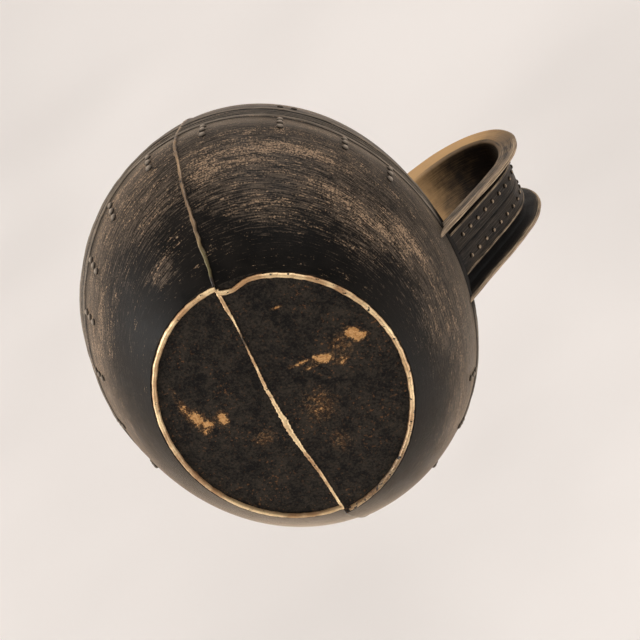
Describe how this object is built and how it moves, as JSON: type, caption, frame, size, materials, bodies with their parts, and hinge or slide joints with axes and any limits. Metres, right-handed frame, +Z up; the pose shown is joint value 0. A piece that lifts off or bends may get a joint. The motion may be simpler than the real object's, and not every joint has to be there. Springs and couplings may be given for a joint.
{
  "type": "pouring jug",
  "caption": "Oval bellied cast jug with a short flaring neck, a broad strap handle with upright edges, a belt of raised lines with small bosses, and a raised foot ring and joint lines.",
  "frame": {"origin": "centre of the bounding box's footprint, at the level the foot ring stands on", "axes": "+Z up along the vessel's axis, +X towards the handle, the joint between the two halves along Y"},
  "size_m": [0.197, 0.1812, 0.178],
  "materials": {
    "patina": "black patina, burnished, rubbed through to tan metal in places",
    "bare_brass": "bare, worn, uneven",
    "dull_brass": "tarnished"
  },
  "bodies": {
    "root": {"body_half_left": "patina", "body_half_right": "patina", "base_seam": "bare_brass", "front_seam": "dull_brass", "back_seam": "dull_brass", "foot_ring_left": "bare_brass", "foot_ring_right": "bare_brass", "neck": "patina", "handle": "patina"}
  },
  "joints": []
}
